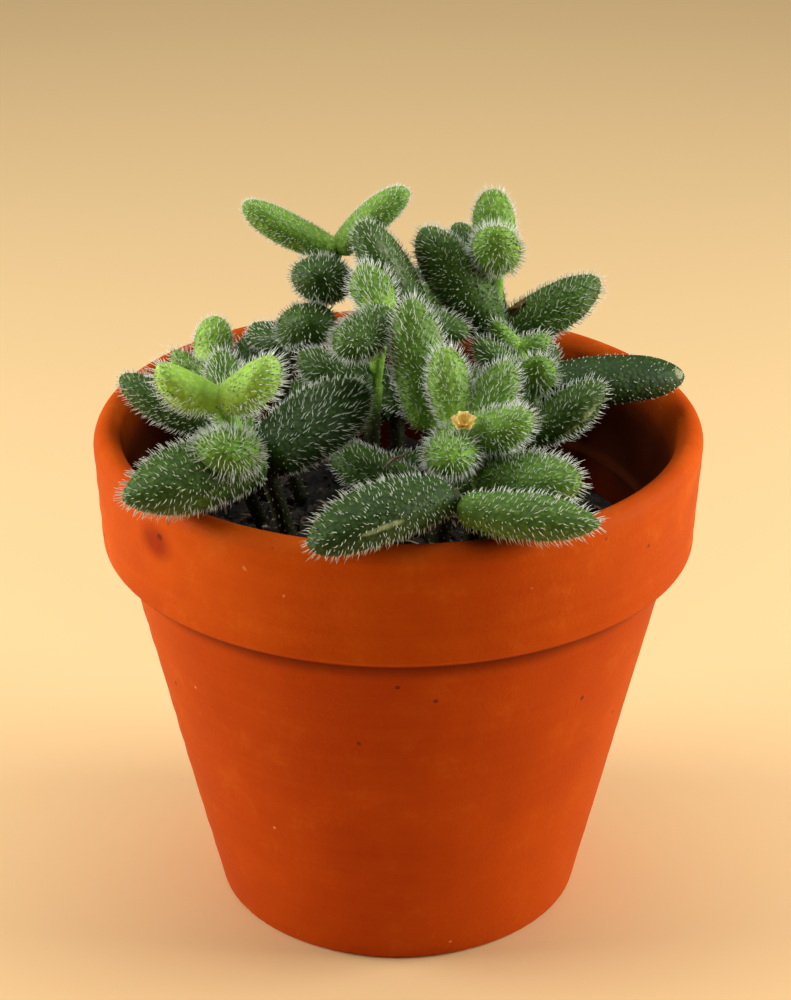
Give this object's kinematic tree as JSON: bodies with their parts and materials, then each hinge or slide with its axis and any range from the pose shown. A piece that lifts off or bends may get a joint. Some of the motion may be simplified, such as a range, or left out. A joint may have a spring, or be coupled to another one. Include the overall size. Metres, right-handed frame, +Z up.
{
  "type": "potted succulent plant",
  "caption": "Small bristly pickle plant with plump finger-like leaves, growing in a tapered clay pot with a deep rolled rim.",
  "frame": {"origin": "middle of the pot's foot, on the plane it stands on", "axes": "+Z up through the pot and the plant, -Y towards the front, +X to the right seen from the front"},
  "size_m": [0.08, 0.0867, 0.0972],
  "materials": {
    "terracotta": "matte",
    "soil": "matte",
    "leaf_dark": "satin",
    "leaf_young": "satin",
    "petal": "matte"
  },
  "bodies": {
    "root": {"pot": "terracotta", "soil": "soil", "shoot_left": "leaf_dark", "tip_left": "leaf_young", "shoot_far_left": "leaf_dark", "tip_far_left": "leaf_young", "shoot_back_left": "leaf_dark", "tip_back_left": "leaf_young", "shoot_top": "leaf_dark", "tip_top": "leaf_young", "shoot_middle": "leaf_dark", "tip_middle": "leaf_young", "shoot_behind": "leaf_dark", "shoot_inner": "leaf_dark", "shoot_back_right": "leaf_dark", "tip_back_right": "leaf_young", "shoot_low_front": "leaf_dark", "shoot_front": "leaf_dark", "tip_front": "leaf_young", "shoot_right": "leaf_dark", "tip_right": "leaf_young", "shoot_rear": "leaf_dark", "tip_rear": "leaf_young", "shoot_rear_right": "leaf_dark", "wilted_flower": "petal"}
  },
  "joints": []
}
